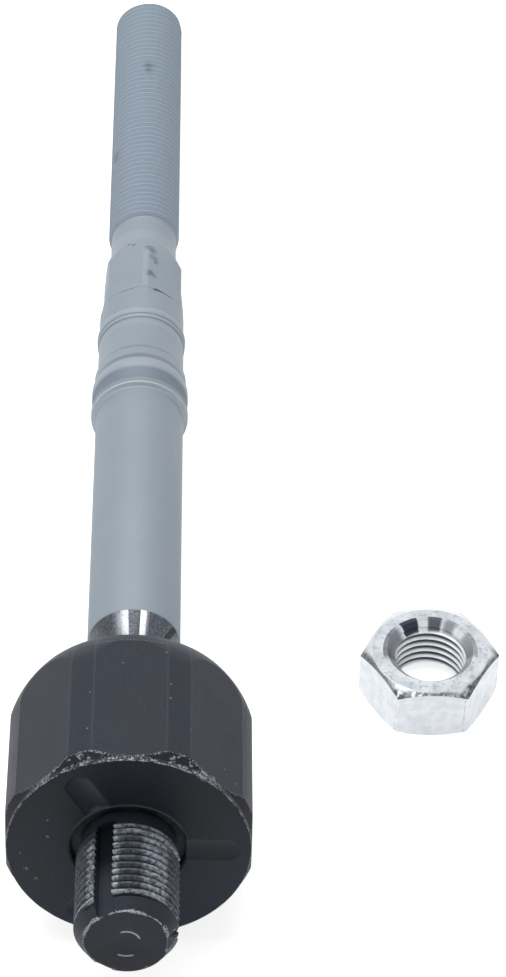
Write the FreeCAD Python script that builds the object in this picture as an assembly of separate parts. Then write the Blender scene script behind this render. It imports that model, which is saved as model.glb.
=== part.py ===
import FreeCAD, Part
import math
import os

# Inner tie rod of a rack and pinion steering gear, with its lock nut beside it.
# The steel socket housing is forged in one piece with the threaded stud that screws into the rack.
# Its rim is rolled over a plastic bearing shell, and the shell holds the ball of the rod.
#
# Lengths are in millimetres. Stations along the joint are counted from the seat face of the
# housing: the stud lies on the minus side and the rod on the plus side. The origin is on the
# axis, in the middle of the stud's thread.
# The joint lies as it comes to rest: the rolled end of the housing and the far end of the rod
# touch the ground, so its axis falls a few degrees towards the rod's thread. +Y runs towards
# the rod's thread, +X to the nut and +Z up.
# Angles round the axis are seen from the stud side, counted from +X, anticlockwise.
# Screw threads are left as plain cylinders at their outside size, and in the nut at its bore.

# Housing
housing_flats = 40.6
corner_rise = 0.9
flat_count = 8
rim_height = 7.98
seat_face_diameter = 40.5
seat_register_length = 0.9
seat_chamfer_length = 1.3
roll_radius = 15.0
roll_length = 8.6
rim_edge_radius = 0.8
rim_dish = 0.5
rim_inner_radius = 0.4
front_wall = 5.6
lip_land = 3.8
lip_grip = 1.55
mouth_flare = 1.85

# Threaded stud of the housing, with its slots and the grooves that they breathe through
stud_diameter = 17.2
stud_length = 20.9
stud_tip_diameter = 13.9
stud_tip_length = 2.6
stud_neck_diameter = 15.8
stud_neck_length = 1.8
recess_diameter = 19.0
recess_depth = 1.5
recess_edge_radius = 0.6
centre_mark_diameter = 4.4
centre_mark_depth = 0.5
slot_count = 3
slot_width = 3.2
slot_floor_diameter = 13.3
slot_angle = 115.5
vent_width = 4.8
vent_depth = 0.5
vent_reach = 18.4
vent_angle = 120.0

# Bearing shell
running_gap = 0.06
shell_wall = 2.18
shell_floor = 1.4
shell_overlap = 6.8
grease_hole_diameter = 8.0

# Ball and rod
ball_diameter = 27.0
ball_flat_diameter = 8.0
neck_diameter = 13.2
neck_fillet = 2.0
cone_length = 5.4
shaft_diameter = 16.2
shoulder_from_ball = 29.9
shaft_length = 61.63
flange_diameter = 18.0
flange_ramp = 0.2
flange_width = 1.45
stop_groove_diameter = 16.4
stop_groove_length = 3.5
stop_groove_fillet = 0.6
stop_diameter = 17.9
stop_width = 2.3
land_ramp = 0.4
land_diameter = 17.1
land_width = 3.4
boot_seat_diameter = 16.05
boot_seat_length = 8.9
near_bead_diameter = 16.45
near_bead_width = 1.3
far_bead_diameter = 16.7
far_bead_width = 2.3
collar_diameter = 15.95
collar_length = 5.75
wrench_flats = 14.1
wrench_length = 12.9
wrench_runout = 5.4
wrench_runout_rise = 0.75
wrench_corner_angle = 83.0
thread_neck_diameter = 12.6
thread_neck_cone = 5.2
thread_neck_length = 6.75
rod_thread_diameter = 13.7
rod_thread_length = 76.9
rod_end_chamfer = 1.6

# Lock nut, and where it lies
nut_flats = 21.4
nut_height = 10.8
nut_bore_diameter = 12.38
nut_countersink_diameter = 15.2
nut_countersink_depth = 1.6
nut_face_diameter = 20.2
nut_chamfer_angle = 30.0
nut_turn = 1.1
nut_aside = 52.35
nut_along = 67.4

X = FreeCAD.Vector(1, 0, 0)
Z = FreeCAD.Vector(0, 0, 1)
CENTRE = FreeCAD.Vector(0, 0, 0)

# Sizes and stations that follow from the sizes above
housing_corners = housing_flats + 2 * corner_rise
cavity_diameter = ball_diameter + 2 * (shell_wall + 2 * running_gap)
throat_diameter = ball_diameter - 2 * lip_grip
mouth_diameter = throat_diameter + 2 * mouth_flare
origin_station = -(stud_neck_length + stud_length - stud_tip_length) / 2
ball_radius = ball_diameter / 2
ball_station = front_wall + running_gap + shell_floor + running_gap + ball_radius
lip_station = ball_station + lip_land
housing_length = lip_station + rim_height
shoulder_station = ball_station + shoulder_from_ball
flange_station = shoulder_station + shaft_length
groove_station = flange_station + flange_ramp + flange_width
stop_station = groove_station + stop_groove_length
land_station = stop_station + stop_width + land_ramp
seat_station = land_station + land_width
bead_station = seat_station + land_ramp + boot_seat_length
collar_station = bead_station + near_bead_width + far_bead_width
wrench_station = collar_station + collar_length
wrench_end = wrench_station + wrench_length
thread_neck_station = wrench_end + thread_neck_cone
thread_station = thread_neck_station + thread_neck_length
rod_end = thread_station + rod_thread_length
roll_station = housing_length - roll_length
roll_centre = housing_corners / 2 - roll_radius
rim_station = roll_station + math.sqrt(roll_radius ** 2 - (housing_flats / 2 - roll_centre) ** 2)
tilt = math.atan2(
    (housing_flats - rod_thread_diameter) / 2,
    rod_end - rod_end_chamfer - rim_station)
ground = -(rim_station - origin_station) * math.sin(tilt) - housing_flats / 2 * math.cos(tilt)
tool_reach = 2 * housing_corners


def point(radius, station):
    return FreeCAD.Vector(radius, 0, station)


def revolve(edges):
    face = Part.Face(Part.Wire(edges))
    return face.revolve(CENTRE, Z, 360)


def outline(*stops):
    """Edges through the stops in turn. A stop is a point, or a pair: a point on an arc and its end."""
    edges = []
    start = stops[0]
    for stop in stops[1:]:
        if isinstance(stop, tuple):
            through, end = stop
            edges.append(Part.Arc(start, through, end).toShape())
        else:
            end = stop
            edges.append(Part.LineSegment(start, end).toShape())
        start = end
    edges.append(Part.LineSegment(start, stops[0]).toShape())
    return edges


def round_corner(centre_radius, centre_station, radius, start_angle, end_angle):
    """The middle and end points of an arc in the half section, its angles counted from the radius."""
    points = []
    for degrees in ((start_angle + end_angle) / 2, end_angle):
        angle = math.radians(degrees)
        points.append(point(centre_radius + radius * math.cos(angle),
                            centre_station + radius * math.sin(angle)))
    return tuple(points)


def prism(sides, flats, low, high, corner_angle):
    """A prism along the axis, with one corner at the given angle seen from the stud side."""
    corner_radius = flats / 2 / math.cos(math.pi / sides)
    corners = []
    for index in range(sides + 1):
        angle = math.radians(-corner_angle + 360 * (index % sides) / sides)
        corners.append(FreeCAD.Vector(corner_radius * math.cos(angle),
                                      corner_radius * math.sin(angle), low))
    return Part.Face(Part.makePolygon(corners)).extrude(Z * (high - low))


def around(shape, angle):
    """Turn a copy made on the +X side to an angle seen from the stud side."""
    copy = shape.copy()
    copy.rotate(CENTRE, Z, -angle)
    return copy


def socket_housing():
    corner_radius = housing_corners / 2
    throat_station = lip_station + (cavity_diameter - throat_diameter) / 2
    edge_station = housing_length - rim_dish - rim_edge_radius
    edge_angle = math.degrees(math.asin((edge_station - roll_station) / (roll_radius - rim_edge_radius)))
    edge_centre = roll_centre + (roll_radius - rim_edge_radius) * math.cos(math.radians(edge_angle))
    stud_radius = stud_diameter / 2
    neck_radius = stud_neck_diameter / 2
    edge = recess_edge_radius
    body = revolve(outline(
        point(0, -stud_length + centre_mark_depth),
        point(centre_mark_diameter / 2, -stud_length),
        point(stud_tip_diameter / 2, -stud_length),
        point(stud_radius, stud_tip_length - stud_length),
        point(stud_radius, -stud_neck_length),
        point(neck_radius, -stud_neck_length + stud_radius - neck_radius),
        point(neck_radius, recess_depth),
        point(recess_diameter / 2, recess_depth),
        point(recess_diameter / 2, edge),
        round_corner(recess_diameter / 2 + edge, edge, edge, 180, 270),
        point(seat_face_diameter / 2, 0),
        point(seat_face_diameter / 2, seat_register_length),
        point(corner_radius, seat_register_length + seat_chamfer_length),
        point(corner_radius, roll_station),
        round_corner(roll_centre, roll_station, roll_radius, 0, edge_angle),
        round_corner(edge_centre, edge_station, rim_edge_radius, edge_angle, 90),
        point(mouth_diameter / 2 + rim_inner_radius, housing_length),
        point(mouth_diameter / 2, housing_length - rim_inner_radius),
        point(throat_diameter / 2, throat_station),
        point(cavity_diameter / 2, lip_station),
        point(cavity_diameter / 2, front_wall),
        point(0, front_wall)))
    # The flats run out in the rolled end, and a flat faces the ground
    flat_angle = 180 / flat_count + 90
    body = body.common(prism(flat_count, housing_flats, -stud_length - 1, housing_length + 1, flat_angle))
    for index in range(slot_count):
        turn = index * 360 / slot_count
        slot_depth = (stud_diameter - slot_floor_diameter) / 2 + 1
        slot = Part.makeBox(
            slot_depth, slot_width, stud_length + recess_depth,
            FreeCAD.Vector(slot_floor_diameter / 2, -slot_width / 2, -stud_length))
        body = body.cut(around(slot, slot_angle + turn))
        half = vent_width / 2
        vent = Part.makeBox(
            vent_reach - half - neck_radius, vent_width, vent_depth,
            FreeCAD.Vector(neck_radius, -half, 0))
        end = Part.makeCylinder(half, vent_depth, FreeCAD.Vector(vent_reach - half, 0, 0))
        body = body.cut(around(vent.fuse(end), vent_angle + turn))
    return body


def bearing_shell():
    outer = cavity_diameter / 2 - running_gap
    inner = ball_radius + running_gap
    floor = front_wall + running_gap
    top = ball_station + shell_overlap
    slope = math.radians(45)
    shoulder = lip_station - running_gap * math.tan(slope / 2)
    top_outer = outer - (top - shoulder)
    top_inner = math.sqrt(inner ** 2 - shell_overlap ** 2)
    hole = grease_hole_diameter / 2
    hole_depth = math.sqrt(inner ** 2 - hole ** 2)
    return revolve(outline(
        point(hole, floor),
        point(outer, floor),
        point(outer, shoulder),
        point(top_outer, top),
        point(top_inner, top),
        (point(inner, ball_station), point(hole, ball_station - hole_depth))))


def ball_rod():
    flat = ball_flat_diameter / 2
    flat_depth = math.sqrt(ball_radius ** 2 - flat ** 2)
    neck = neck_diameter / 2
    fillet_rise = math.sqrt((ball_radius + neck_fillet) ** 2 - (neck + neck_fillet) ** 2)
    fillet_angle = math.degrees(math.atan2(fillet_rise, neck + neck_fillet))
    fillet_station = ball_station + fillet_rise
    share = ball_radius / (ball_radius + neck_fillet)
    ball_edge = point(share * (neck + neck_fillet), ball_station + share * fillet_rise)
    shaft = shaft_diameter / 2
    flange = flange_diameter / 2
    groove = stop_groove_diameter / 2
    corner = stop_groove_fillet
    stop = stop_diameter / 2
    land = land_diameter / 2
    seat = boot_seat_diameter / 2
    near_bead = near_bead_diameter / 2
    far_bead = far_bead_diameter / 2
    bead_valley = bead_station + near_bead_width
    collar = collar_diameter / 2
    thread_neck = thread_neck_diameter / 2
    thread = rod_thread_diameter / 2
    thread_lead = thread - thread_neck
    rod = revolve(outline(
        point(0, ball_station - flat_depth),
        point(flat, ball_station - flat_depth),
        (point(ball_radius, ball_station), ball_edge),
        round_corner(neck + neck_fillet, fillet_station, neck_fillet, fillet_angle + 180, 180),
        point(neck, shoulder_station - cone_length),
        point(shaft, shoulder_station),
        point(shaft, flange_station),
        point(flange, flange_station + flange_ramp),
        point(flange, groove_station),
        point(groove + corner, groove_station),
        round_corner(groove + corner, groove_station + corner, corner, 270, 180),
        point(stop, stop_station),
        point(stop, stop_station + stop_width),
        point(land, land_station),
        point(land, seat_station),
        point(seat, seat_station + land_ramp),
        point(seat, bead_station),
        (point(near_bead, bead_station + near_bead_width / 2), point(seat, bead_valley)),
        (point(far_bead, bead_valley + far_bead_width / 2), point(seat, collar_station)),
        point(collar, collar_station),
        point(collar, wrench_end),
        point(thread_neck, thread_neck_station),
        point(thread_neck, thread_station),
        point(thread, thread_station + thread_lead),
        point(thread, rod_end - rod_end_chamfer),
        point(thread - rod_end_chamfer, rod_end),
        point(0, rod_end)))
    return rod.cut(wrench_cutter())


def wrench_cutter():
    """What the mill takes off round the hexagon, with a runout that rises towards the ball."""
    low = wrench_station
    level = wrench_station + wrench_runout
    high = thread_station
    runout = Part.makeLoft(
        [hexagon_wire(wrench_flats + 2 * wrench_runout_rise, low), hexagon_wire(wrench_flats, level)],
        True, True)
    core = runout.fuse(prism(6, wrench_flats, level, high + 1, wrench_corner_angle))
    blank = Part.makeCylinder(tool_reach, high - low, point(0, low))
    return blank.cut(core)


def hexagon_wire(flats, station):
    radius = flats / math.sqrt(3)
    corners = []
    for index in range(7):
        angle = math.radians(-wrench_corner_angle + 60 * (index % 6))
        corners.append(FreeCAD.Vector(radius * math.cos(angle), radius * math.sin(angle), station))
    return Part.makePolygon(corners)


def lock_nut():
    corner = nut_flats / math.sqrt(3)
    face = nut_face_diameter / 2
    drop = (corner - face) * math.tan(math.radians(nut_chamfer_angle))
    bore = nut_bore_diameter / 2
    countersink = nut_countersink_diameter / 2
    body = revolve(outline(
        point(bore, nut_countersink_depth),
        point(countersink, 0),
        point(face, 0),
        point(corner, drop),
        point(corner, nut_height - drop),
        point(face, nut_height),
        point(countersink, nut_height),
        point(bore, nut_height - nut_countersink_depth)))
    return body.common(prism(6, nut_flats, -1, nut_height + 1, -nut_turn))


def lay(shape):
    """Lay a piece that was built upright along the tilted axis of the joint."""
    shape.translate(Z * -origin_station)
    shape.rotate(CENTRE, X, -90 - math.degrees(tilt))
    return shape


os.makedirs("parts", exist_ok=True)

lay(socket_housing()).exportStep("parts/socket_housing.step")
lay(bearing_shell()).exportStep("parts/bearing_shell.step")
lay(ball_rod()).exportStep("parts/ball_rod.step")

nut = lock_nut()
nut.translate(FreeCAD.Vector(nut_aside, nut_along, ground))
nut.exportStep("parts/lock_nut.step")
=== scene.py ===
import math

import bpy
from mathutils import Matrix, Vector


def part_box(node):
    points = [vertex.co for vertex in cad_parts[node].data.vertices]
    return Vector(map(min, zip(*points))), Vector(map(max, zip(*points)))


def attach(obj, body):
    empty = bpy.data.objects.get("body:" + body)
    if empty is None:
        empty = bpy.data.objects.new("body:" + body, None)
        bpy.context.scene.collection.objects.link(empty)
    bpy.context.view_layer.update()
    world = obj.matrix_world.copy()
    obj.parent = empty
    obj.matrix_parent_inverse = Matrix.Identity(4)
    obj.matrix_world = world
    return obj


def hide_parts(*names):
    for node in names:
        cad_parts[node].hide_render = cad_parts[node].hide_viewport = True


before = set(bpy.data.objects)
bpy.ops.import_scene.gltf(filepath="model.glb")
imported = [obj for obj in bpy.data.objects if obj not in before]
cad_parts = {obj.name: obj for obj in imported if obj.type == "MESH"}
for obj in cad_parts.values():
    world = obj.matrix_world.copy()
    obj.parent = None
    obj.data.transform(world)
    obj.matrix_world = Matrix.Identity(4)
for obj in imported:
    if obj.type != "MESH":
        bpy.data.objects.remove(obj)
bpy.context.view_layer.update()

# Pieces on the joint are modelled upright in millimetres: Z is the station along the axis,
# counted from the housing's seat face, and lay() then puts them on the tilted axis in metres.


# The photograph was taken from above the stud, looking along the rod with a long lens.
view_pitch = math.radians(43.557)
view_yaw = math.radians(1.494)
view_roll = math.radians(1.815)
view_place = Vector((0.00707, -0.43117, 0.50126))

looks_along = Vector((
    math.sin(view_yaw) * math.cos(view_pitch),
    math.cos(view_yaw) * math.cos(view_pitch),
    -math.sin(view_pitch)))
level_right = Vector((math.cos(view_yaw), -math.sin(view_yaw), 0))
right = Matrix.Rotation(-view_roll, 3, looks_along) @ level_right
up = right.cross(looks_along)
camera = bpy.data.objects.new("camera", bpy.data.cameras.new("camera"))
camera.matrix_world = Matrix((
    (right.x, up.x, -looks_along.x, view_place.x),
    (right.y, up.y, -looks_along.y, view_place.y),
    (right.z, up.z, -looks_along.z, view_place.z),
    (0, 0, 0, 1)))
camera.data.lens = 149.06
camera.data.sensor_width = 36
camera.data.clip_start = 0.01
bpy.context.scene.collection.objects.link(camera)
bpy.context.scene.camera = camera


# Socket housing. One steel forging: an eight sided socket whose rim is rolled over the ball, with
# a turned seat face, a relief ring round the root of the stud, and three shallow vents.
# Black oxide finish, rubbed and chipped along the edge of the seat.
origin_station = -10.05
tilt = math.radians(3.6083)
housing_flat = 20.3
housing_corner = 21.2
housing_length = 32.4
housing_first_corner = 112.5
seat_radius = 20.25
register_end = 0.9
chamfer_end = 2.2
roll_radius = 15.0
roll_station = 23.8
rim_edge_radius = 0.8
rim_dish = 0.5
rim_inner_edge = 0.4
front_wall = 5.6
cavity_radius = 15.8
lip_station = 24.42
throat_radius = 11.95
mouth_radius = 13.8
recess_radius = 9.5
recess_depth = 1.5
recess_edge_radius = 0.6
stud_neck_radius = 7.9
vent_angles = (120, 0, 240)
vent_depth = 0.5
vent_curve = 6.0
vent_reach = 16.0


def only(obj):
    """Makes obj the one selected and active object."""
    bpy.ops.object.select_all(action="DESELECT")
    obj.select_set(True)
    bpy.context.view_layer.objects.active = obj


def arc(centre_radius, centre_station, radius, start, end, parts):
    """Points on an arc of a half section, its angles in degrees counted from the radius."""
    points = []
    for index in range(parts + 1):
        angle = math.radians(start + (end - start) * index / parts)
        points.append((
            centre_radius + radius * math.cos(angle),
            centre_station + radius * math.sin(angle)))
    return points


def half_section(name, stops):
    """A chain of edges through (radius, station) stops, drawn from one vertex by extruding it."""
    bpy.ops.object.select_all(action="DESELECT")
    bpy.ops.mesh.primitive_plane_add(size=1)
    obj = bpy.context.object
    obj.name = obj.data.name = name
    bpy.ops.object.mode_set(mode="EDIT")
    bpy.ops.mesh.merge(type="CENTER")
    bpy.ops.transform.translate(value=(stops[0][0], 0, stops[0][1]))
    for before, after in zip(stops, stops[1:]):
        step = (after[0] - before[0], 0, after[1] - before[1])
        bpy.ops.mesh.extrude_region_move(TRANSFORM_OT_translate={"value": step})
    bpy.ops.object.mode_set(mode="OBJECT")
    return obj


def weld(obj):
    """Merges doubles and turns all faces outwards."""
    only(obj)
    bpy.ops.object.mode_set(mode="EDIT")
    bpy.ops.mesh.select_all(action="SELECT")
    bpy.ops.mesh.remove_doubles(threshold=0.0005)
    bpy.ops.mesh.normals_make_consistent(inside=False)
    bpy.ops.object.mode_set(mode="OBJECT")


def turned(name, stops, steps):
    """A turned shape: its half section is spun once round the axis."""
    obj = half_section(name, stops)
    bpy.ops.object.mode_set(mode="EDIT")
    bpy.ops.mesh.select_all(action="SELECT")
    bpy.ops.mesh.spin(steps=steps, angle=2 * math.pi, center=(0, 0, 0), axis=(0, 0, 1))
    bpy.ops.object.mode_set(mode="OBJECT")
    weld(obj)
    return obj


def apply(obj, modifier):
    only(obj)
    bpy.ops.object.modifier_apply(modifier=modifier.name)


def carve(obj, tool, operation):
    """Cuts obj with a closed tool, keeps what they share, or joins them, and removes the tool."""
    cut = obj.modifiers.new("carve", "BOOLEAN")
    cut.operation = operation
    cut.solver = "EXACT"
    cut.object = tool
    apply(obj, cut)
    bpy.data.objects.remove(tool)


def bar(sides, flat_radius, low, high, first_corner):
    """A prism along the axis, with a corner at an angle seen from the stud side."""
    bpy.ops.object.select_all(action="DESELECT")
    bpy.ops.mesh.primitive_cylinder_add(
        vertices=sides, radius=flat_radius / math.cos(math.pi / sides), depth=high - low,
        location=(0, 0, (low + high) / 2),
        rotation=(0, 0, math.pi / 2 - math.radians(first_corner)))
    obj = bpy.context.object
    bpy.ops.object.transform_apply()
    return obj


def carve_vent(obj, angle):
    """A shallow round dip in the seat face, from the stud outwards, with a rounded end."""
    turn = -math.radians(angle)
    for reach, add, shape in (
            ((stud_neck_radius + vent_reach) / 2, bpy.ops.mesh.primitive_cylinder_add,
             {"vertices": 120, "depth": vent_reach - stud_neck_radius}),
            (vent_reach, bpy.ops.mesh.primitive_uv_sphere_add,
             {"segments": 120, "ring_count": 60})):
        bpy.ops.object.select_all(action="DESELECT")
        add(radius=vent_curve, rotation=(0, math.pi / 2, turn),
            location=(reach * math.cos(turn), reach * math.sin(turn), vent_depth - vent_curve),
            **shape)
        carve(obj, bpy.context.object, "DIFFERENCE")


def lay(obj):
    """Lays a piece on the tilted axis of the joint, in metres, with its place in its mesh."""
    only(obj)
    obj.matrix_world = (
        Matrix.Scale(0.001, 4)
        @ Matrix.Rotation(-math.pi / 2 - tilt, 4, "X")
        @ Matrix.Translation((0, 0, -origin_station)))
    bpy.ops.object.transform_apply()


def shade(obj, degrees):
    only(obj)
    bpy.ops.object.shade_smooth_by_angle(angle=math.radians(degrees))


def feed(tree, value, socket):
    """Links a node output to a socket, or sets a plain value on it."""
    if isinstance(value, bpy.types.NodeSocket):
        tree.links.new(value, socket)
    else:
        socket.default_value = value


def maths(tree, operation, *given):
    node = tree.nodes.new("ShaderNodeMath")
    node.operation = operation
    for value, socket in zip(given, node.inputs):
        feed(tree, value, socket)
    return node.outputs[0]


def highest(tree, *masks):
    best = masks[0]
    for mask in masks[1:]:
        best = maths(tree, "MAXIMUM", best, mask)
    return best


def times(tree, *masks):
    product = masks[0]
    for mask in masks[1:]:
        product = maths(tree, "MULTIPLY", product, mask)
    return product


def scaled(tree, value, slope, start):
    return maths(tree, "MULTIPLY_ADD", value, slope, start)


def past(tree, value, edge):
    return maths(tree, "SUBTRACT", value, edge)


def distance(tree, across, along):
    squares = maths(tree, "ADD", times(tree, across, across), times(tree, along, along))
    return maths(tree, "SQRT", squares)


def fade(tree, value, start, end):
    """Soft step from 0 at start to 1 at end; start may lie above end."""
    node = tree.nodes.new("ShaderNodeMapRange")
    node.interpolation_type = "SMOOTHSTEP"
    feed(tree, value, node.inputs["Value"])
    feed(tree, start, node.inputs["From Min"])
    feed(tree, end, node.inputs["From Max"])
    return node.outputs["Result"]


def away(tree, value, centre):
    return maths(tree, "ABSOLUTE", past(tree, value, centre))


def band(tree, value, centre, half, soft):
    return fade(tree, away(tree, value, centre), half + soft, half)


def off_angle(tree, angle, centre, half_share):
    """Degrees from the nearest of the centres that repeat every two half shares."""
    return maths(tree, "WRAP", past(tree, angle, centre), half_share, -half_share)


def sector(tree, angle, centre, half, soft):
    """A band of angles, also across the turn at 180 degrees."""
    return band(tree, off_angle(tree, angle, centre, 180), 0, half, soft)


def noise(tree, position, scale, detail):
    node = tree.nodes.new("ShaderNodeTexNoise")
    feed(tree, position, node.inputs["Vector"])
    node.inputs["Scale"].default_value = scale
    node.inputs["Detail"].default_value = detail
    return node.outputs[0]


def grains(tree, position, scale, detail, start, end):
    """Noise turned into patches, 0 at its level start and 1 at its level end."""
    return fade(tree, noise(tree, position, scale, detail), start, end)


def tint(tree, factor, below, above):
    node = tree.nodes.new("ShaderNodeMix")
    node.data_type = "RGBA"
    feed(tree, factor, node.inputs[0])
    feed(tree, below, node.inputs[6])
    feed(tree, above, node.inputs[7])
    return node.outputs[2]


def painted(tree, base, *coats):
    """Colours laid over a base one after another, each given as its mask and its tone."""
    for mask, tone in coats:
        base = tint(tree, mask, base, tone)
    return base


def relief(tree, height, depth):
    """A bump normal from a height of 0 to 1, its depth in metres."""
    node = tree.nodes.new("ShaderNodeBump")
    node.inputs["Distance"].default_value = depth
    feed(tree, height, node.inputs["Height"])
    return node.outputs[0]


def placed(tree, scale, turn, shift):
    """Object coordinates in another frame: scaled, turned, then shifted."""
    node = tree.nodes.new("ShaderNodeMapping")
    feed(tree, tree.nodes.new("ShaderNodeTexCoord").outputs["Object"], node.inputs["Vector"])
    node.inputs["Scale"].default_value = (scale, scale, scale)
    node.inputs["Rotation"].default_value = turn
    node.inputs["Location"].default_value = shift
    return node.outputs[0]


def components(tree, position):
    node = tree.nodes.new("ShaderNodeSeparateXYZ")
    feed(tree, position, node.inputs[0])
    return node.outputs


def polar(tree, position):
    """Radius, angle and height of a position round its Z axis, the angle from +X towards -Y."""
    x, y, z = components(tree, position)
    angle = maths(tree, "DEGREES", maths(tree, "ARCTAN2", times(tree, y, -1.0), x))
    return distance(tree, x, y), angle, z


def node_group(name, inputs, outputs):
    tree = bpy.data.node_groups.new(name, "ShaderNodeTree")
    for label, kind in inputs:
        tree.interface.new_socket(label, in_out="INPUT", socket_type="NodeSocket" + kind)
    for label, kind in outputs:
        tree.interface.new_socket(label, in_out="OUTPUT", socket_type="NodeSocket" + kind)
    given = tree.nodes.new("NodeGroupInput").outputs
    return tree, given, tree.nodes.new("NodeGroupOutput").inputs


def grouped(tree, group, **given):
    node = tree.nodes.new("ShaderNodeGroup")
    node.node_tree = group
    for label, value in given.items():
        feed(tree, value, node.inputs[label])
    return node.outputs


def new_material(name):
    """A new material with its node tree and the inputs of its shader."""
    material = bpy.data.materials.new(name)
    material.use_nodes = True
    tree = material.node_tree
    return material, tree, tree.nodes["Principled BSDF"].inputs


def blot(tree, across, along, ragged, spread, start, end):
    """A ragged mark, from the offsets across and along the surface to its middle."""
    return fade(tree, scaled(tree, ragged, spread, distance(tree, across, along)), start, end)


def spots(tree, place, surface, places, ragged, soft):
    """Small ragged marks on a round surface, each with its angle, station and half width."""
    marks = []
    for angle, station, half in places:
        across = times(tree, past(tree, place["Angle"], angle), math.radians(surface))
        along = past(tree, place["Station"], station)
        marks.append(blot(tree, across, along, ragged, half, half * (1 + soft), half * (1 - soft)))
    return highest(tree, *marks)


def dress(obj, material):
    obj.data.materials.clear()
    obj.data.materials.append(material)


edge_station = housing_length - rim_dish - rim_edge_radius
edge_reach = roll_radius - rim_edge_radius
edge_angle = math.degrees(math.asin((edge_station - roll_station) / edge_reach))
roll_centre = housing_corner - roll_radius
edge_centre = roll_centre + edge_reach * math.cos(math.radians(edge_angle))
housing = turned("socket_forging", [
    (0, -1.0),
    (stud_neck_radius, -1.0),
    (stud_neck_radius, recess_depth),
    (recess_radius, recess_depth),
    *arc(recess_radius + recess_edge_radius, recess_edge_radius, recess_edge_radius, 180, 270, 5),
    (seat_radius - 0.15, 0),
    (seat_radius - 0.04, 0.05),
    (seat_radius, 0.16),
    (seat_radius, register_end),
    (housing_corner, chamfer_end),
    *arc(roll_centre, roll_station, roll_radius, 0, edge_angle, 14),
    *arc(edge_centre, edge_station, rim_edge_radius, edge_angle + 15, 90, 5),
    (mouth_radius + rim_inner_edge, housing_length),
    (mouth_radius, housing_length - rim_inner_edge),
    (throat_radius, lip_station + cavity_radius - throat_radius),
    (cavity_radius, lip_station),
    (cavity_radius, front_wall),
    (0, front_wall)], 160)
octagon = bar(8, housing_flat, -3, housing_length + 1, housing_first_corner)
carve(housing, octagon, "INTERSECT")
for vent_angle in vent_angles:
    carve_vent(housing, vent_angle)
weld(housing)
lay(housing)
shade(housing, 16)
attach(housing, "housing")
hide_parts("socket_housing")

# Place on the joint for its materials, in millimetres and degrees seen from the stud side.
joint_position, _, found = node_group("joint_position", [], [
    ("Upright", "Vector"), ("Station", "Float"), ("Radius", "Float"), ("Angle", "Float")])
upright = placed(joint_position, 1000, (math.pi / 2 + tilt, 0, 0), (0, 0, origin_station))
radius, angle, station = polar(joint_position, upright)
for label, value in (
        ("Upright", upright), ("Station", station), ("Radius", radius), ("Angle", angle)):
    feed(joint_position, value, found[label])

# Worn line along an edge, Distance and Width in millimetres: grain breaks it up, Wear closes it.
rubbed_edge, given, found = node_group("rubbed_edge", [
    ("Distance", "Float"), ("Width", "Float"), ("Wear", "Float"), ("Position", "Vector")], [
    ("Mask", "Float")])
widening = scaled(rubbed_edge, grains(rubbed_edge, given["Position"], 0.7, 2, 0.3, 0.7), 1.5, 0.2)
reach = times(rubbed_edge, given["Width"], widening)
from_edge = maths(rubbed_edge, "ABSOLUTE", given["Distance"])
line = fade(rubbed_edge, from_edge, reach, times(rubbed_edge, reach, 0.3))
worn_grain = maths(rubbed_edge, "ADD", noise(rubbed_edge, given["Position"], 3.2, 2), given["Wear"])
broken = fade(rubbed_edge, worn_grain, 0.44, 0.62)
feed(rubbed_edge, times(rubbed_edge, line, broken), found["Mask"])

# Black oxide coat: a blue black with faint warmer clouds and a fine grain.
black_coat, given, found = node_group("black_coat", [("Position", "Vector")], [
    ("Color", "Color"), ("Roughness", "Float"), ("Grain", "Float")])
clouds = noise(black_coat, given["Position"], 0.11, 3)
grain = noise(black_coat, given["Position"], 2.4, 3)
coat = painted(
    black_coat, (0.027, 0.035, 0.053, 1),
    (fade(black_coat, clouds, 0.36, 0.64), (0.033, 0.038, 0.048, 1)),
    (times(black_coat, fade(black_coat, grain, 0.4, 0.75), 0.35), (0.055, 0.064, 0.080, 1)))
feed(black_coat, coat, found["Color"])
feed(black_coat, scaled(black_coat, clouds, 0.2, 0.42), found["Roughness"])
feed(black_coat, grain, found["Grain"])


def worn_line(tree, position, from_edge, width, wear):
    return grouped(
        tree, rubbed_edge, Distance=from_edge, Width=width, Wear=wear, Position=position)["Mask"]


oxide, tree, shader = new_material("black_oxide")
place = grouped(tree, joint_position)
position, station, radius = place["Upright"], place["Station"], place["Radius"]
across, down = components(tree, position)[:2]
coat = grouped(tree, black_coat, Position=position)
from_top = away(tree, place["Angle"], 90)
near_top = fade(tree, from_top, 64, 34)
outer = fade(tree, radius, 19.6, 19.9)
face = fade(tree, station, 0.25, 0.05)

# Distances from the edges of the housing: the flats meet the seat's chamfer in a scalloped line.
off_flat = off_angle(tree, place["Angle"], 90, 22.5)
flat_edge = maths(
    tree, "DIVIDE", housing_flat, maths(tree, "COSINE", maths(tree, "RADIANS", off_flat)))
outline = maths(tree, "MINIMUM", flat_edge, housing_corner)
chamfer_slope = (chamfer_end - register_end) / (housing_corner - seat_radius)
scallop = scaled(tree, outline, chamfer_slope, register_end - seat_radius * chamfer_slope)
past_scallop = past(tree, station, scallop)
from_seat = distance(tree, past(tree, radius, seat_radius), station)
past_roll = past(tree, station, 28.85)
from_corner = times(tree, away(tree, maths(tree, "ABSOLUTE", off_flat), 16.8), 0.37)

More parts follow.
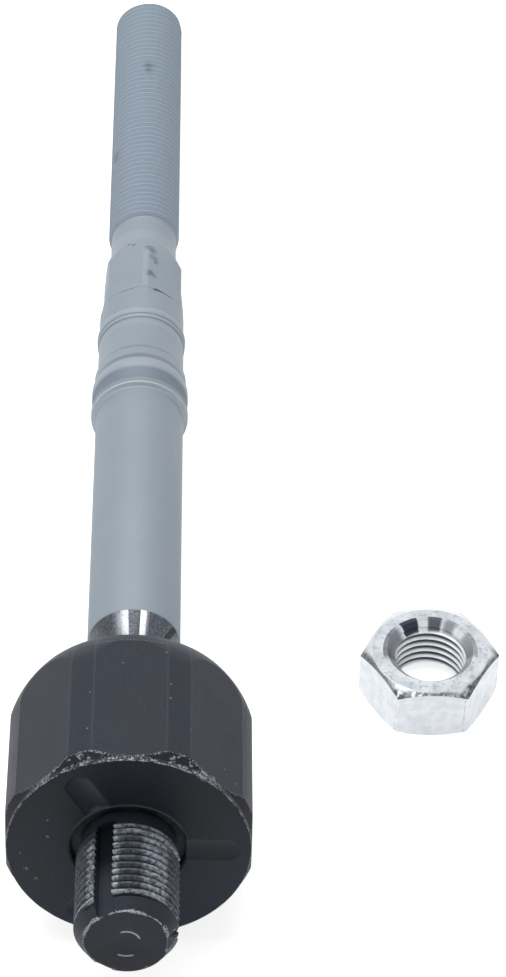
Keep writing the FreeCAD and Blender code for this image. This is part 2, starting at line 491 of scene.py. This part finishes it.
# Scuffs and chips along the chamfer, specks on the flats and scratches on the face.
ragged = scaled(tree, noise(tree, position, 2.6, 3), 2.4, -1.2)
scuffs = times(
    tree, outer, fade(tree, station, 0.02, 0.15), fade(tree, station, 1.15, 0.7), near_top,
    grains(tree, position, 2.0, 3, 0.49, 0.58), grains(tree, position, 0.45, 1, 0.36, 0.5))
chips = spots(tree, place, 20.6, [
    (112.5, 1.9, 0.5), (109.5, 1.1, 0.55), (67.5, 2.1, 0.35), (70, 1.4, 0.4), (54, 0.8, 0.9),
    (48, 1.1, 0.6), (118, 1.8, 0.25), (126, 1.4, 0.35), (133, 1.0, 0.4), (102, 0.7, 0.45),
    (95, 0.6, 0.35), (61, 1.5, 0.35)], ragged, 0.5)
specks = spots(tree, place, 21, [
    (74, 26, 0.16), (72, 14.9, 0.17), (94, 23.2, 0.14), (108.5, 16.1, 0.15), (109, 7.6, 0.13),
    (72, 18.3, 0.16), (62, 9, 0.12), (40, 5.5, 0.14), (33, 4.0, 0.15)], ragged, 0.3)
scratches = [
    blot(tree, past(tree, across, x), past(tree, down, y), ragged, half * 1.3, half * 1.3, half * 0.5)
    for x, y, half in (
        (-13.3, -6.4, 0.2), (-13.3, -2.7, 0.3), (-17.8, 1.1, 0.2), (-16.9, 4.8, 0.4),
        (-15.3, 7.1, 0.35))]
worn = highest(
    tree,
    times(tree, worn_line(tree, position, from_seat, 0.2, 0.12), scaled(tree, near_top, 0.25, 0.75)),
    times(
        tree, outer, worn_line(tree, position, past_scallop, 0.24, 0.0),
        scaled(tree, near_top, 0.5, 0.4)),
    times(tree, worn_line(tree, position, past_roll, 0.15, 0.05), fade(tree, from_top, 20, 15), 0.5),
    times(
        tree, outer, worn_line(tree, position, from_corner, 0.2, 0.0),
        fade(tree, from_top, 58, 70), fade(tree, station, 1.0, 3.0), 0.8),
    times(tree, scuffs, 0.9),
    times(tree, outer, chips, grains(tree, position, 2.2, 3, 0.42, 0.56)),
    times(tree, outer, specks, 0.6),
    times(tree, highest(tree, *scratches), face, 0.4))

# Light caught in the ring round the stud and on the ridges, and shade on the seat.
recess_glint = highest(
    tree,
    times(
        tree, band(tree, radius, recess_radius + 0.35, 0.2, 0.35),
        fade(tree, station, 1.0, 0.5), fade(tree, down, -1, -8)),
    times(
        tree, band(tree, radius, recess_radius + 0.1, 0.7, 0.6),
        sector(tree, place["Angle"], 122, 3, 5)))
ridges = times(
    tree, outer, fade(tree, from_corner, 0.35, 0.0), fade(tree, station, 2.0, 4.0), 0.2)
shaded = times(
    tree, fade(tree, outline, seat_radius + 0.15, seat_radius + 0.4),
    fade(tree, past_scallop, 0.1, -0.1), fade(tree, station, 0.6, 1.0))
metal = tint(
    tree, grains(tree, position, 4.0, 2, 0.35, 0.65), (0.16, 0.18, 0.21, 1), (0.50, 0.53, 0.57, 1))
colour = painted(
    tree, coat["Color"],
    # Painted shade: the seat face is darker towards its top.
    (times(tree, face, fade(tree, down, 8, -16), 0.6), (0.012, 0.013, 0.018, 1)),
    (times(tree, shaded, 0.75), (0.012, 0.013, 0.016, 1)),
    (highest(tree, times(tree, recess_glint, 0.8), ridges), (0.13, 0.14, 0.16, 1)),
    (worn, metal))
feed(tree, colour, shader["Base Color"])
feed(tree, times(tree, worn, 0.4), shader["Metallic"])
feed(tree, coat["Roughness"], shader["Roughness"])
feed(tree, relief(tree, scaled(tree, worn, -2.0, coat["Grain"]), 0.00002), shader["Normal"])
shader["Specular IOR Level"].default_value = 0.2
dress(housing, oxide)


# Threaded stud of the housing. Its rolled M18 thread screws into the rack. Three milled slots run
# along it to let air past, and its crests are rubbed bright. Same steel and finish as the housing.
thread_pitch = 1.5
thread_depth = 0.92
stud_radius = 8.6
stud_length = 20.9
stud_tip_station = -18.3
slot_angles = (118, 238, 358)
slot_half_width = 1.6
slot_floor_radius = 6.65
centre_mark_radius = 2.2


def threaded(name, crest, depth, crest_width, low, high, steps, limit):
    """A right hand thread as a closed bar. limit(station) gives the least and most radius there."""
    root = crest - depth
    root_half = 0.1
    soft = 0.07
    tooth = crest_width / 2
    middle = thread_pitch / 2
    first = low - 2 * thread_pitch
    stops = [
        (root, -root_half), (root, root_half),
        (crest - soft, middle - tooth - soft), (crest, middle - tooth),
        (crest, middle + tooth), (crest - soft, middle + tooth + soft),
        (root, thread_pitch - root_half)]
    obj = half_section(name, [(radius, station + first) for radius, station in stops])
    screw = obj.modifiers.new("helix", "SCREW")
    screw.axis = "Z"
    screw.angle = 2 * math.pi
    screw.screw_offset = thread_pitch
    screw.iterations = math.ceil((high - low) / thread_pitch) + 4
    screw.steps = screw.render_steps = steps
    screw.use_merge_vertices = True
    screw.merge_threshold = 0.001
    apply(obj, screw)
    bpy.ops.object.mode_set(mode="EDIT")
    bpy.ops.mesh.select_all(action="SELECT")
    bpy.ops.mesh.remove_doubles(threshold=0.001)
    for station, at_start in ((low, True), (high, False)):
        bpy.ops.mesh.select_all(action="SELECT")
        bpy.ops.mesh.bisect(
            plane_co=(0, 0, station), plane_no=(0, 0, 1), use_fill=True,
            clear_inner=at_start, clear_outer=not at_start)
    bpy.ops.mesh.select_all(action="SELECT")
    bpy.ops.mesh.normals_make_consistent(inside=False)
    bpy.ops.object.mode_set(mode="OBJECT")
    for vertex in obj.data.vertices:
        radius = math.hypot(vertex.co.x, vertex.co.y)
        least, most = limit(vertex.co.z)
        if radius > 0.5:
            scale = min(max(radius, least), most) / radius
            vertex.co.x *= scale
            vertex.co.y *= scale
    return obj


def stud_limit(station):
    """The thread runs out under the seat and into the cone of the tip."""
    run_in = max(0.0, 1 - (-1.6 - station) / 1.2)
    tip = max(0.0, stud_tip_station - station)
    most = stud_radius - 0.7 * run_in - 0.635 * tip
    least = stud_radius - thread_depth + min(0.25 * run_in, 0.2)
    if station < stud_tip_station - 0.3:
        least = most
    return least, most


def block(low, high, angle):
    """A box from corner to corner on the +X side, turned to an angle seen from the stud side."""
    bpy.ops.object.select_all(action="DESELECT")
    bpy.ops.mesh.primitive_cube_add(
        size=1, location=[(a + b) / 2 for a, b in zip(low, high)],
        scale=[b - a for a, b in zip(low, high)])
    obj = bpy.context.object
    bpy.ops.object.transform_apply()
    obj.rotation_euler.z = -math.radians(angle)
    bpy.ops.object.transform_apply()
    return obj


stud = threaded(
    "stud_thread", stud_radius, thread_depth, 0.42, -stud_length, -1.7, 96, stud_limit)
stud_root = turned("stud_root", [
    (0, -2.2), (stud_neck_radius, -2.2), (stud_neck_radius, -0.6), (0, -0.6)], 96)
carve(stud, stud_root, "UNION")
for slot_angle in slot_angles:
    slot = block(
        (slot_floor_radius, -slot_half_width, -stud_length - 1),
        (12, slot_half_width, recess_depth), slot_angle)
    carve(stud, slot, "DIFFERENCE")
centre_mark = turned("centre_mark", [
    (0, -20.4), (centre_mark_radius, -stud_length), (centre_mark_radius, -22), (0, -22)], 48)
carve(stud, centre_mark, "DIFFERENCE")
weld(stud)
lay(stud)
shade(stud, 30)
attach(stud, "housing")

rubbed_oxide, tree, shader = new_material("rubbed_black_oxide")
place = grouped(tree, joint_position)
position, station = place["Upright"], place["Station"]
radius, angle = place["Radius"], place["Angle"]
coat = grouped(tree, black_coat, Position=position)
off_slot = maths(tree, "ABSOLUTE", off_angle(tree, angle, slot_angles[0], 60))
from_slot = times(tree, radius, maths(tree, "SINE", maths(tree, "RADIANS", off_slot)))
on_land = fade(tree, from_slot, 1.62, 1.72)
in_slot = fade(tree, from_slot, 1.72, 1.62)
above_floor = fade(tree, radius, 6.5, 6.64)
past_end = past(tree, station, -stud_length)
end_face = fade(tree, past_end, 0.3, 0.1)

# The crests are rubbed bare, and painted highlight makes them brightest beside the slot, towards the
# light and on the first turns; painted shade dims them beyond 120 degrees next to the seat.
strength = highest(
    tree, band(tree, angle, 104, 2, 6),
    times(tree, band(tree, angle, 57, 9, 16), 0.95),
    times(tree, band(tree, angle, 133, 4, 8), 0.9),
    times(tree, band(tree, station, -3.6, 0.5, 1.0), 0.9),
    0.24)
crest_wear_and_highlight = times(
    tree, on_land, fade(tree, radius, stud_radius - 0.75, stud_radius - 0.25), strength,
    scaled(tree, grains(tree, position, 1.7, 4, 0.34, 0.66), 0.85, 0.25),
    fade(tree, station, stud_tip_station - 0.3, stud_tip_station), fade(tree, station, -2.0, -2.8),
    highest(tree, fade(tree, angle, 122, 116), fade(tree, station, -3.5, -6.0)))
from_rim = distance(tree, past(tree, radius, stud_radius - 1.65), past_end)
worn = highest(
    tree, crest_wear_and_highlight,
    times(
        tree, worn_line(tree, position, from_rim, 0.4, 0.08),
        scaled(tree, fade(tree, away(tree, angle, 90), 110, 40), 0.5, 0.5)),
    times(
        tree, worn_line(tree, position, past(tree, station, -17.8), 0.3, 0.1),
        fade(tree, radius, 8.0, 8.3), 0.9),
    times(
        tree, worn_line(tree, position, past(tree, from_slot, slot_half_width), 0.15, 0.1),
        fade(tree, station, -17.4, -18.2), above_floor, sector(tree, angle, 0, 40, 10), 0.9),
    times(tree, band(tree, radius, 2.25, 0.1, 0.12), band(tree, angle, 66, 40, 14), end_face, 0.9),
    times(tree, band(tree, radius, 3.3, 0.1, 0.12), band(tree, angle, -92, 18, 8), end_face, 0.8))
# Painted shade in the thread's roots and in the slots towards the seat.
root_shade = fade(tree, radius, stud_radius - 0.6, stud_radius - 0.88)
stud_painted_shade = highest(
    tree, times(tree, root_shade, on_land, fade(tree, station, -18.4, -18.0)),
    times(tree, in_slot, fade(tree, station, -14, -7)))
# Painted light in the slot on the right, near the tip.
slot_painted_light = times(
    tree, in_slot, fade(tree, station, -16, -19), above_floor, sector(tree, angle, -5, 12, 8))
colour = painted(
    tree, coat["Color"],
    (times(tree, end_face, 0.35), (0.03, 0.032, 0.038, 1)),
    (times(tree, stud_painted_shade, 0.85), (0.008, 0.009, 0.012, 1)),
    (times(tree, slot_painted_light, 0.8), (0.22, 0.24, 0.27, 1)),
    (worn, (0.41, 0.45, 0.50, 1)))
feed(tree, colour, shader["Base Color"])
feed(tree, times(tree, worn, 0.5), shader["Metallic"])
feed(tree, coat["Roughness"], shader["Roughness"])
feed(tree, relief(tree, coat["Grain"], 0.00002), shader["Normal"])
feed(tree, scaled(tree, stud_painted_shade, -0.18, 0.2), shader["Specular IOR Level"])
dress(stud, rubbed_oxide)


# Bearing shell. The one piece acetal cup between the ball and the socket, out of sight.
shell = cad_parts["bearing_shell"]

acetal, tree, shader = new_material("natural_acetal")
flow = noise(tree, grouped(tree, joint_position)["Upright"], 0.15, 3)
streaks = fade(tree, flow, 0.35, 0.65)
feed(tree, tint(tree, streaks, (0.78, 0.77, 0.71, 1), (0.86, 0.85, 0.80, 1)), shader["Base Color"])
feed(tree, scaled(tree, flow, 0.2, 0.35), shader["Roughness"])
dress(shell, acetal)


# Ball rod. Turned from one bar of steel: the ball, a bare neck, the shank with the collar and
# grooves that hold the boot, a milled hexagon and the long rolled M14 thread. Matte blue grey zinc.
ball_station = 20.62
ball_radius = 13.5
ball_flat_radius = 4
neck_radius = 6.6
neck_fillet = 2.0
shoulder_station = 50.52
shaft_radius = 8.1
flange_station = 112.15
flange_end = 113.8
flange_radius = 9.0
groove_fillet = 0.6
stop_station = 117.3
stop_radius = 8.95
land_station = 120.0
land_radius = 8.55
seat_station = 123.4
boot_radius = 8.03
bead_station = 133.2
near_bead_station = bead_station + 0.55
far_bead_station = bead_station + 2.1
collar_station = 136.3
collar_radius = 7.975
wrench_station = 142.05
wrench_runout_end = 147.45
wrench_flat = 7.05
wrench_runout_flat = 7.87
wrench_corner = 83
wrench_end = 154.95
thread_neck_station = 160.15
thread_neck_radius = 6.3
rod_thread_station = 166.9
rod_thread_radius = 6.85
rod_end = 243.8
rod_end_chamfer = 1.6
rod = turned("tie_rod", [
    (0, ball_station - math.sqrt(ball_radius ** 2 - ball_flat_radius ** 2)),
    *arc(0, ball_station, ball_radius, -72.76, 56.5, 40),
    *arc(neck_radius + neck_fillet, ball_station + 12.9, neck_fillet, 236, 180, 6),
    (neck_radius, shoulder_station - 5.4),
    (7.95, shoulder_station - 0.25),
    (8.05, shoulder_station - 0.08),
    (shaft_radius, shoulder_station + 0.1),
    (shaft_radius, flange_station),
    (8.88, flange_station + 0.16),
    (8.97, flange_station + 0.24),
    (flange_radius, flange_station + 0.4),
    (flange_radius, flange_end - 0.15),
    (8.9, flange_end),
    *arc(8.8, flange_end + groove_fillet, groove_fillet, 270, 200, 5),
    (8.35, 115.6),
    (8.62, 116.5),
    (8.87, stop_station - 0.12),
    (stop_radius, stop_station + 0.08),
    (stop_radius, 119.5),
    (8.88, 119.66),
    (8.6, land_station - 0.1),
    (land_radius, land_station + 0.05),
    (land_radius, seat_station - 0.1),
    (8.48, seat_station + 0.05),
    (8.1, seat_station + 0.36),
    (boot_radius, seat_station + 0.5),
    (boot_radius, bead_station),
    *arc(6.9, near_bead_station, 1.32, -24, 24, 8),
    (boot_radius, bead_station + 1.1),
    *arc(6.0, far_bead_station, 2.35, -24, 24, 10),
    (collar_radius, collar_station),
    (collar_radius, wrench_end),
    (6.5, thread_neck_station - 0.45),
    (6.36, thread_neck_station),
    (thread_neck_radius, thread_neck_station + 0.6),
    (thread_neck_radius, rod_thread_station + 0.4),
    (0, rod_thread_station + 0.4)], 128)

# The mill leaves a hexagon whose runout widens towards the ball.
milled_away = turned("milled_away", [
    (0, wrench_station), (30, wrench_station), (30, 168), (0, 168)], 32)
hexagon = bar(6, wrench_flat, wrench_station - 0.5, 170, wrench_corner)
only(hexagon)
bpy.ops.object.mode_set(mode="EDIT")
bpy.ops.mesh.select_all(action="SELECT")
bpy.ops.mesh.bisect(plane_co=(0, 0, wrench_runout_end), plane_no=(0, 0, 1))
bpy.ops.object.mode_set(mode="OBJECT")
for vertex in hexagon.data.vertices:
    if vertex.co.z < wrench_station:
        vertex.co.x *= wrench_runout_flat / wrench_flat
        vertex.co.y *= wrench_runout_flat / wrench_flat
carve(milled_away, hexagon, "DIFFERENCE")
carve(rod, milled_away, "DIFFERENCE")


def rod_limit(station):
    """The thread grows out of its neck and ends in the chamfer of the rod."""
    lead = station - rod_thread_station
    least = thread_neck_radius - 0.37 * min(1.0, max(0.0, lead / thread_pitch))
    most = thread_neck_radius + min(0.55, max(0.0, lead - 0.2) * 0.4)
    most = min(most, rod_thread_radius - max(0.0, station - rod_end + rod_end_chamfer))
    return min(least, most), most


rod_thread = threaded(
    "rod_thread", rod_thread_radius, thread_depth, 0.34, rod_thread_station, rod_end, 96, rod_limit)
for piece in (rod, rod_thread):
    weld(piece)
    lay(piece)
    shade(piece, 30)
    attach(piece, "rod")
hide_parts("ball_rod")

zinc, tree, shader = new_material("matte_zinc")
place = grouped(tree, joint_position)
position, station = place["Upright"], place["Station"]
radius, angle = place["Radius"], place["Angle"]
clouds = grains(tree, position, 0.09, 4, 0.3, 0.7)
grain = noise(tree, position, 2.8, 3)
ragged = scaled(tree, noise(tree, position, 1.3, 3), 2.0, -1.0)


def rings(tree, station, *rows):
    """Lines round the rod, each with its station, half width, softness and strength."""
    return highest(tree, *(
        times(tree, band(tree, station, middle, half, soft), strength)
        for middle, half, soft, strength in rows))


# The thread is bluer than the shank. Painted light lifts its flanks, and painted shade darkens its
# crests towards the sides, so they stand out less there.
on_thread = fade(tree, station, rod_thread_station - 1, rod_thread_station + 1)
flank_light = times(
    tree, fade(tree, station, rod_thread_station + 0.6, rod_thread_station + 2.5),
    fade(tree, radius, 6.83, 6.65))
side_crest_shade = times(
    tree, on_thread, fade(tree, radius, 6.7, 6.84), fade(tree, away(tree, angle, 90), 22, 55), 0.8)

# Painted shade lies in the corners and the groove of the boot seat and on the flange, and painted
# highlights on its beads and edges, on a flat of the hexagon and on the thread's neck.
groove_shade = times(tree, band(tree, station, 115.5, 1.6, 0.5), fade(tree, radius, 8.97, 8.75))
shade_rings = rings(
    tree, station,
    (120.9, 0.3, 0.45, 1.0),
    (124.3, 0.15, 0.35, 0.8),
    (bead_station - 0.1, 0.1, 0.25, 0.5),
    (bead_station + 1.1, 0.08, 0.2, 0.5),
    (113.0, 0.45, 0.25, times(tree, fade(tree, radius, 8.9, 8.95), 0.45)),
    (collar_station + 0.1, 0.08, 0.2, 0.4))
lights = rings(
    tree, station,
    (118.8, 1.0, 0.5, 0.8),
    (flange_end, 0.1, 0.15, fade(tree, radius, 8.8, 8.9)),
    (131.9, 0.4, 0.6, 0.4),
    (near_bead_station, 0.2, 0.25, 0.6),
    (far_bead_station, 0.4, 0.4, 0.7),
    (wrench_station + 0.9, 0.2, 0.4, 0.5),
    (148.5, 5.5, 1.5, times(tree, band(tree, angle, 86, 2.5, 3), 0.5)),
    (thread_neck_station + 1.5, 0.8, 1.5, 0.5))

# Dark arcs round the foot of the hexagon, stains on the hexagon and its neck, and a few on the
# thread.
arcs = rings(
    tree, station,
    (142.3, 0.25, 0.2, times(tree, band(tree, angle, 60, 12, 5), 0.85)),
    (142.5, 0.14, 0.14, times(tree, band(tree, angle, 111, 9, 4), 0.4)),
    (142.7, 0.2, 0.3, times(tree, band(tree, angle, 90, 70, 10), 0.18)))
stains_and_arcs = highest(tree, arcs, *(
    times(tree, spots(tree, place, surface, places, ragged, soft), strength)
    for surface, soft, strength, places in (
        (7.6, 0.9, 0.5, [(76, 155.0, 0.9), (72.7, 152.7, 0.8), (70.4, 151.6, 0.6)]),
        (7.6, 0.9, 0.6, [(78.3, 147.9, 0.45), (77, 147.2, 0.8)]),
        (7.0, 0.8, 0.6, [
            (105, 157.4, 0.35), (113, 157.9, 0.3), (85, 155.7, 0.4), (81, 155.9, 0.4)]),
        (6.8, 0.95, 0.4, [(87.5, 219.6, 0.9), (88.5, 217.4, 0.8), (152, 191.5, 1.0)]))))
plated = painted(
    tree, (0.345, 0.41, 0.475, 1),
    (clouds, (0.37, 0.43, 0.485, 1)),
    (times(tree, fade(tree, grain, 0.35, 0.7), 0.25), (0.43, 0.485, 0.54, 1)),
    (times(tree, on_thread, 0.85), (0.37, 0.44, 0.515, 1)),
    (flank_light, (0.465, 0.55, 0.645, 1)),
    (side_crest_shade, (0.30, 0.365, 0.42, 1)),
    (times(tree, groove_shade, 0.75), (0.22, 0.275, 0.335, 1)),
    (times(tree, shade_rings, scaled(tree, clouds, 0.2, 0.45)), (0.17, 0.21, 0.255, 1)),
    (times(tree, lights, 0.4), (0.58, 0.63, 0.67, 1)),
    # Painted light on the ramp up to the flange.
    (rings(tree, station, (flange_station + 0.1, 0.3, 0.1, 0.7)), (0.75, 0.82, 0.88, 1)),
    (stains_and_arcs, (0.05, 0.06, 0.07, 1)))

# The neck beside the ball is bare steel, with the studio's reflection painted into its colour in
# upright bands.
bare = fade(tree, station, shoulder_station - 0.1, shoulder_station - 0.3)
steel_grain = noise(tree, position, 2.6, 3)
steel_painted_reflection = painted(
    tree, (0.24, 0.26, 0.29, 1),
    (fade(tree, angle, 108, 122), (0.085, 0.095, 0.11, 1)),
    (band(tree, angle, 100, 3, 6), (0.42, 0.45, 0.48, 1)),
    (band(tree, angle, 89, 7, 2), (0.06, 0.065, 0.075, 1)),
    (band(tree, angle, 77, 3, 2), (0.95, 0.96, 0.97, 1)),
    (fade(tree, angle, 71, 68), (0.085, 0.10, 0.125, 1)),
    (times(tree, fade(tree, steel_grain, 0.5, 0.7), 0.35), (0.30, 0.32, 0.35, 1)),
    (times(tree, fade(tree, steel_grain, 0.46, 0.3), 0.5), (0.02, 0.022, 0.026, 1)),
    (band(tree, scaled(tree, station, 3.2, angle), 187, 4, 2), (0.015, 0.016, 0.02, 1)))
feed(tree, tint(tree, bare, plated, steel_painted_reflection), shader["Base Color"])
feed(tree, scaled(tree, bare, 0.5, 0.15), shader["Metallic"])
feed(tree, scaled(tree, bare, -0.25, 0.56), shader["Roughness"])
feed(tree, relief(tree, grain, 0.00002), shader["Normal"])
shader["Specular IOR Level"].default_value = 0.35
for piece in (rod, rod_thread):
    dress(piece, zinc)


# Lock nut. A plain M14 hexagon nut for the tie rod end, chamfered on both faces and bright zinc
# plated. It lies loose on the floor beside the joint.
nut_height = 10.8
nut_flat = 10.7
nut_corner = 2 * nut_flat / math.sqrt(3)
nut_face = 10.1
nut_slope = math.tan(math.radians(30))
nut_drop = (nut_corner - nut_face) * nut_slope
nut_turn = 1.1
nut_thread_radius = 7.0
sink_depth = 1.6
nut_place = Vector((0.05235, 0.0674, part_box("lock_nut")[0].z))
nut = turned("lock_nut_plated", [
    (0, 0),
    (nut_face, 0),
    (nut_corner + 0.01, nut_drop),
    (nut_corner + 0.01, nut_height - nut_drop),
    (nut_face, nut_height),
    (0, nut_height)], 96)
carve(nut, bar(6, nut_flat, -1, nut_height + 1, -nut_turn), "INTERSECT")
nut_bore = threaded(
    "nut_bore", nut_thread_radius, 0.81, 0.2, -0.5, nut_height + 0.5, 72,
    lambda station: (0, nut_thread_radius))
carve(nut, nut_bore, "DIFFERENCE")
for face_station, inwards in ((0, 1), (nut_height, -1)):
    countersink = turned("countersink", [
        (0, face_station - inwards),
        (8.6, face_station - inwards),
        (6.0, face_station + sink_depth * inwards),
        (0, face_station + sink_depth * inwards)], 96)
    carve(nut, countersink, "DIFFERENCE")
weld(nut)
nut.matrix_world = Matrix.Translation(nut_place) @ Matrix.Scale(0.001, 4)
only(nut)
bpy.ops.object.transform_apply()
shade(nut, 25)
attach(nut, "housing")
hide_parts("lock_nut")

bright, tree, shader = new_material("bright_zinc")
local = placed(tree, 1000, (0, 0, 0), -1000 * nut_place)
radius, angle, height = polar(tree, local)
mottle = noise(tree, local, 0.55, 4)
fine = noise(tree, local, 1.6, 3)
on_face = fade(tree, height, nut_height - 0.06, nut_height - 0.02)
flat_face = tint(
    tree, grains(tree, local, 0.35, 5, 0.35, 0.65), (0.46, 0.50, 0.54, 1), (0.60, 0.63, 0.66, 1))
face_marks = times(tree, on_face, grains(tree, local, 1.2, 4, 0.52, 0.66))

# The chamfer is darkest where it meets the flats and at its corners.
chamfer_height = scaled(tree, radius, -nut_slope, nut_height + nut_face * nut_slope)
on_chamfer = times(
    tree, fade(tree, away(tree, height, chamfer_height), 0.12, 0.04),
    fade(tree, radius, nut_face + 0.05, nut_face + 0.25))
off_hexagon = off_angle(tree, angle, nut_turn - 30, 30)
inside_flat = past(tree, nut_flat, times(
    tree, radius, maths(tree, "COSINE", maths(tree, "RADIANS", off_hexagon))))
border = times(
    tree, fade(tree, inside_flat, 1.4, 0.3), scaled(tree, fine, 0.7, 0.5),
    highest(
        tree, sector(tree, angle, 152, 26, 10), sector(tree, angle, 26, 26, 10),
        times(tree, sector(tree, angle, 90, 26, 6), grains(tree, local, 1.3, 4, 0.38, 0.54))))
corners = times(
    tree, highest(tree, sector(tree, angle, 122, 7, 6), sector(tree, angle, 57, 7, 8)),
    fade(tree, inside_flat, 1.6, 0.6), grains(tree, local, 0.9, 3, 0.38, 0.6))
upright_edges = times(
    tree, fade(tree, maths(tree, "ABSOLUTE", off_hexagon), 29.2, 29.8),
    fade(tree, radius, 12.0, 12.1), fade(tree, fine, 0.42, 0.58), 0.4)

# The countersink has the studio's dark and light parts painted in as reflection and shade, and the
# thread's roots have painted shade.
in_bore = fade(tree, radius, 8.5, 8.3)
sink = times(tree, in_bore, fade(tree, height, nut_height - 1.9, nut_height - 1.5))
sink_reflection_shade = times(tree, sink, highest(
    tree, sector(tree, angle, -118, 11, 3),
    *(times(tree, sector(tree, angle, centre, half, soft), strength)
      for centre, half, soft, strength in (
          (-82, 7, 5, 0.9), (-60, 4, 9, 0.6), (-165, 22, 14, 0.75), (-12, 16, 12, 0.55))),
    0.12))
root_shade = times(
    tree, in_bore, fade(tree, height, nut_height - 1.5, nut_height - 1.9),
    fade(tree, radius, 6.3, 6.7))
colour = painted(
    tree, (0.74, 0.785, 0.835, 1),
    (fade(tree, mottle, 0.35, 0.65), (0.865, 0.89, 0.92, 1)),
    (on_face, flat_face),
    (times(tree, face_marks, 0.6), (0.24, 0.28, 0.33, 1)),
    (highest(tree, times(tree, on_chamfer, highest(tree, border, corners)), upright_edges),
     (0.06, 0.075, 0.095, 1)),
    (sink_reflection_shade, (0.03, 0.036, 0.055, 1)),
    (root_shade, (0.10, 0.115, 0.115, 1)))
feed(tree, colour, shader["Base Color"])
feed(tree, scaled(tree, in_bore, 0.2, 0.55), shader["Metallic"])
feed(tree, scaled(tree, fine, 0.2, 0.25), shader["Roughness"])
feed(tree, relief(tree, mottle, 0.00004), shader["Normal"])
dress(nut, bright)


# Studio: a wide pale floor under a white backdrop, lit by two large soft lamps.
bpy.ops.object.select_all(action="DESELECT")
bpy.ops.mesh.primitive_plane_add(size=6, location=(0, 0, nut_place.z - 0.0002))
floor = bpy.context.object
floor.name = "floor"


def straight_ray(tree):
    """1 for rays that see the backdrop itself, directly, in a reflection or through something."""
    path = tree.nodes.new("ShaderNodeLightPath").outputs
    return highest(tree, path["Is Camera Ray"], path["Is Glossy Ray"], path["Is Transmission Ray"])


paper, tree, shader = new_material("white_paper")
shader["Base Color"].default_value = (0.85, 0.85, 0.85, 1)
shader["Roughness"].default_value = 0.9
shader["Specular IOR Level"].default_value = 0.0
shader["Emission Color"].default_value = (1, 1, 1, 1)
feed(tree, times(tree, straight_ray(tree), 0.78), shader["Emission Strength"])
dress(floor, paper)

world = bpy.data.worlds.new("studio_air")
bpy.context.scene.world = world
world.use_nodes = True
tree = world.node_tree
backdrop = tree.nodes["Background"]
air = tree.nodes.new("ShaderNodeBackground")
for background, strength in ((backdrop, 1.0), (air, 0.27)):
    background.inputs["Color"].default_value = (1, 1, 1, 1)
    background.inputs["Strength"].default_value = strength
either = tree.nodes.new("ShaderNodeMixShader")
feed(tree, straight_ray(tree), either.inputs["Fac"])
feed(tree, air.outputs[0], either.inputs[1])
feed(tree, backdrop.outputs[0], either.inputs[2])
feed(tree, either.outputs[0], tree.nodes["World Output"].inputs["Surface"])


def lamp(name, place, aim, size, power):
    light = bpy.data.objects.new(name, bpy.data.lights.new(name, "AREA"))
    light.data.shape = "SQUARE"
    light.data.size = size
    light.data.energy = power
    light.location = place
    light.rotation_mode = "QUATERNION"
    light.rotation_quaternion = (Vector(aim) - Vector(place)).to_track_quat("-Z", "Y")
    bpy.context.scene.collection.objects.link(light)


lamp("overhead_box", (-0.15, 0.35, 1.0), (0.01, 0.1, 0), 0.9, 7.0)
lamp("side_box", (-0.9, -0.1, 0.6), (0.0, 0.1, 0), 0.6, 0.35)
bpy.context.scene.view_settings.view_transform = "Standard"
